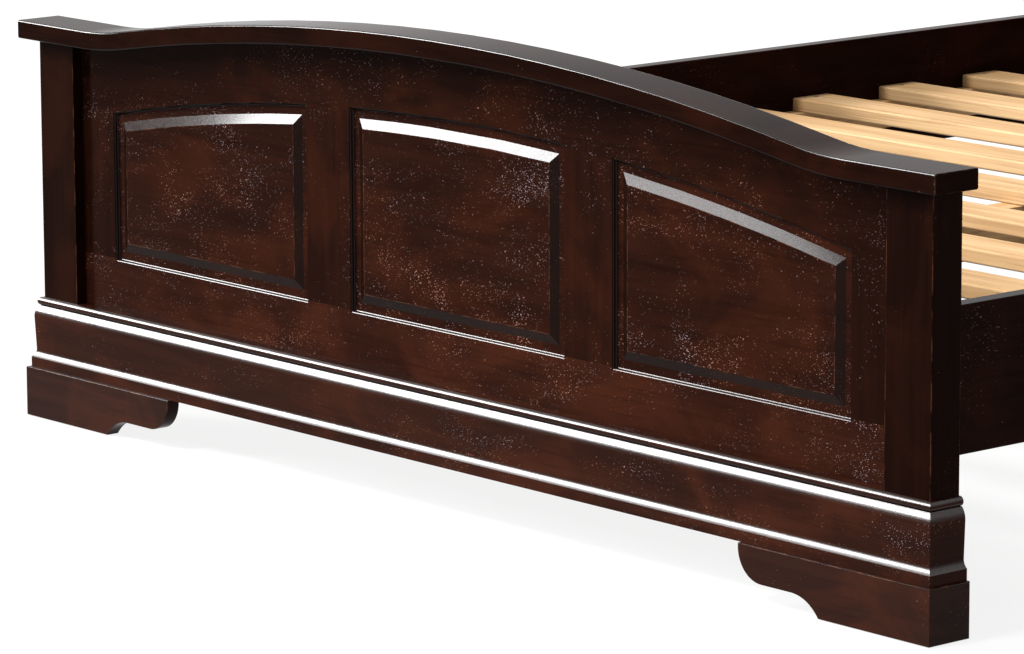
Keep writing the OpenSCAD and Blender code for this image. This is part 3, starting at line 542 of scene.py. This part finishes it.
# Ledges, slats, centre beam, its blocks and legs, glue blocks and dowels: planed softwood
# and beech without finish. The slats are screwed to the ledges.
def planed_wood(name, along, shift):
    """Bare planed wood with growth lines, a few knots and saw fuzz."""
    finish, tree, shader = new_finish(name)
    space = wood_space(tree, along, shift)
    wide = noise(space, 26.0, 1.8, 3.0, 1.4)
    lines = noise(space, 210.0, 3.0, 3.0, 0.8)
    fuzz = noise(space, 1400.0, 90.0, 2.0)
    knot_space = space.node("Mapping", {}, {"Vector": space, "Scale": (2.2, 9.0, 9.0)})
    knot = knot_space.node("TexVoronoi", {"feature": "F1"},
                           {"Vector": knot_space, "Scale": 1.0, "Randomness": 1.0})
    knots = knot.between(0.03, 0.10, 1.0, 0.0)

    pale_wood = (0.56, 0.37, 0.19, 1.0)
    honey_wood = (0.45, 0.27, 0.12, 1.0)
    late_growth = (0.30, 0.155, 0.065, 1.0)
    knot_brown = (0.13, 0.055, 0.025, 1.0)
    body = wide.between(0.35, 0.65).colour(pale_wood, honey_wood)
    lined = (lines.between(0.50, 0.66) * 0.55).colour(body, late_growth)
    knotted = (knots * 0.8).colour(lined, knot_brown)
    knotted.feed(shader, "Base Color")

    dull = 0.55 + lines * 0.12 + fuzz * 0.10 - knots * 0.10
    dull.feed(shader, "Roughness")

    fuzz_height = 0.0004
    height = lines * -0.35 + fuzz * 0.25
    height.relief(0.35, fuzz_height).feed(shader, "Normal")
    shader.inputs["Specular IOR Level"].default_value = 0.25
    return finish


plain_parts = {
    "slats": "X", "slat_ledge_left": "Y", "slat_ledge_right": "Y", "center_beam": "Y",
    "beam_seat_blocks": "X", "center_legs": "Z", "foot_glue_blocks": "X",
    "footboard_cap_dowels": "Z", "headboard_cap_dowels": "Z",
}
for number, (node, along) in enumerate(plain_parts.items()):
    board = fresh_copy(node, node + "_planed")
    lay_in(board, node, "bed_frame",
           planed_wood(node + "_wood", along, (0.37 * number, 0.81 * number, 0.13)))


# Steel fittings: hook plates let into the rails, slotted plates let into the posts,
# cross-headed wood screws and hanger bolts, all zinc plated. Brass inserts in the legs.
def plated_metal(name, colour, worn_colour, rough):
    """Plated metal with a cloudy bloom, fine rolling lines and small scratches."""
    finish, tree, shader = new_finish(name)
    space = wood_space(tree, "Z", (0.0, 0.0, 0.0))
    bloom = noise(space, 120.0, 90.0, 3.0)
    lines = noise(space, 3000.0, 60.0, 2.0)
    spots = noise(space, 700.0, 700.0, 2.0).between(0.62, 0.72)

    stain_grey = (0.24, 0.23, 0.22, 1.0)
    body = bloom.between(0.35, 0.65).colour(colour, worn_colour)
    spotted = (spots * 0.5).colour(body, stain_grey)
    spotted.feed(shader, "Base Color")

    dull = rough + bloom * 0.16 + spots * 0.2
    dull.feed(shader, "Roughness")

    scratch_depth = 0.0001
    height = lines * 0.5 + bloom * 0.3
    height.relief(0.2, scratch_depth).feed(shader, "Normal")
    shader.inputs["Metallic"].default_value = 1.0
    return finish


def sink_crosses(part, head_width, depth):
    """Sinks the driver's cross into the flat top of every screw head of the part.
    The tops are the part's biggest faces."""
    least_top = 0.6 * max(face.area for face in part.data.polygons)
    tops = [(face.center.copy(), face.normal.to_track_quat("Z", "Y").to_euler())
            for face in part.data.polygons if face.area > least_top]
    bar_length = 0.55 * head_width
    bar_width = 0.14 * head_width
    for along, across in ((bar_length, bar_width), (bar_width, bar_length)):
        bpy.ops.object.select_all(action="DESELECT")
        bars = []
        for centre, turn in tops:
            bpy.ops.mesh.primitive_cube_add(
                size=1.0, location=centre, rotation=turn, scale=(along, across, 2.0 * depth))
            bars.append(bpy.context.object)
        for bar in bars:
            bar.select_set(True)
        bpy.ops.object.join()
        cutter = bpy.context.object
        bpy.ops.object.select_all(action="DESELECT")
        part.select_set(True)
        bpy.context.view_layer.objects.active = part
        cut = part.modifiers.new("crosses", "BOOLEAN")
        cut.operation = "DIFFERENCE"
        cut.solver = "EXACT"
        cut.object = cutter
        bpy.ops.object.modifier_apply(modifier=cut.name)
        bpy.data.objects.remove(cutter, do_unlink=True)


screw_head = 0.008
cross_depth = 0.0014
zinc = plated_metal("zinc_plating", (0.62, 0.63, 0.65, 1.0), (0.46, 0.47, 0.49, 1.0), 0.26)
for node in ("rail_hook_plates", "post_slot_plates", "hook_plate_screws", "slot_plate_screws",
             "ledge_screws", "slat_screws", "leg_bolts"):
    part = fresh_copy(node, node + "_plated")
    if "screws" in node:
        sink_crosses(part, screw_head, cross_depth)
    lay_in(part, node, "bed_frame", zinc)

brass = plated_metal("brass", (0.68, 0.46, 0.20, 1.0), (0.50, 0.32, 0.14, 1.0), 0.24)
inserts = fresh_copy("leg_inserts", "leg_inserts_brass")
lay_in(inserts, "leg_inserts", "bed_frame", brass)


# Levelling glides and post glides: moulded plastic feet. The levelling glides screw into
# the brass inserts in the centre legs, the others are nailed under the posts.
def moulded_plastic(name, colour, scuffed):
    """Moulded plastic with a fine texture and scuffs from the floor."""
    finish, tree, shader = new_finish(name)
    space = wood_space(tree, "X", (0.0, 0.0, 0.0))
    texture = noise(space, 1600.0, 1600.0, 2.0)
    clouds = noise(space, 80.0, 80.0, 3.0)
    scuffs = noise(space, 500.0, 60.0, 3.0).between(0.58, 0.70)

    faded = tuple(1.35 * part for part in colour[:3]) + (1.0,)
    body = clouds.between(0.3, 0.7).colour(colour, faded)
    rubbed = (scuffs * 0.5).colour(body, scuffed)
    rubbed.feed(shader, "Base Color")

    dull = 0.42 + clouds * 0.15 + scuffs * 0.2
    dull.feed(shader, "Roughness")

    texture_height = 0.0002
    texture.relief(0.25, texture_height).feed(shader, "Normal")
    return finish


# Each levelling glide moves on its own, on a body with the name of its node.
black = moulded_plastic("black_plastic", (0.022, 0.022, 0.024, 1.0), (0.09, 0.09, 0.09, 1.0))
for node in ("leveling_glide_front", "leveling_glide_middle", "leveling_glide_rear"):
    glide = fresh_copy(node, node + "_moulded")
    lay_in(glide, node, node, black)

grey = moulded_plastic("grey_plastic", (0.17, 0.17, 0.18, 1.0), (0.32, 0.32, 0.32, 1.0))
glides = fresh_copy("post_glides", "post_glides_moulded")
lay_in(glides, "post_glides", "bed_frame", grey)

low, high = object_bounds()
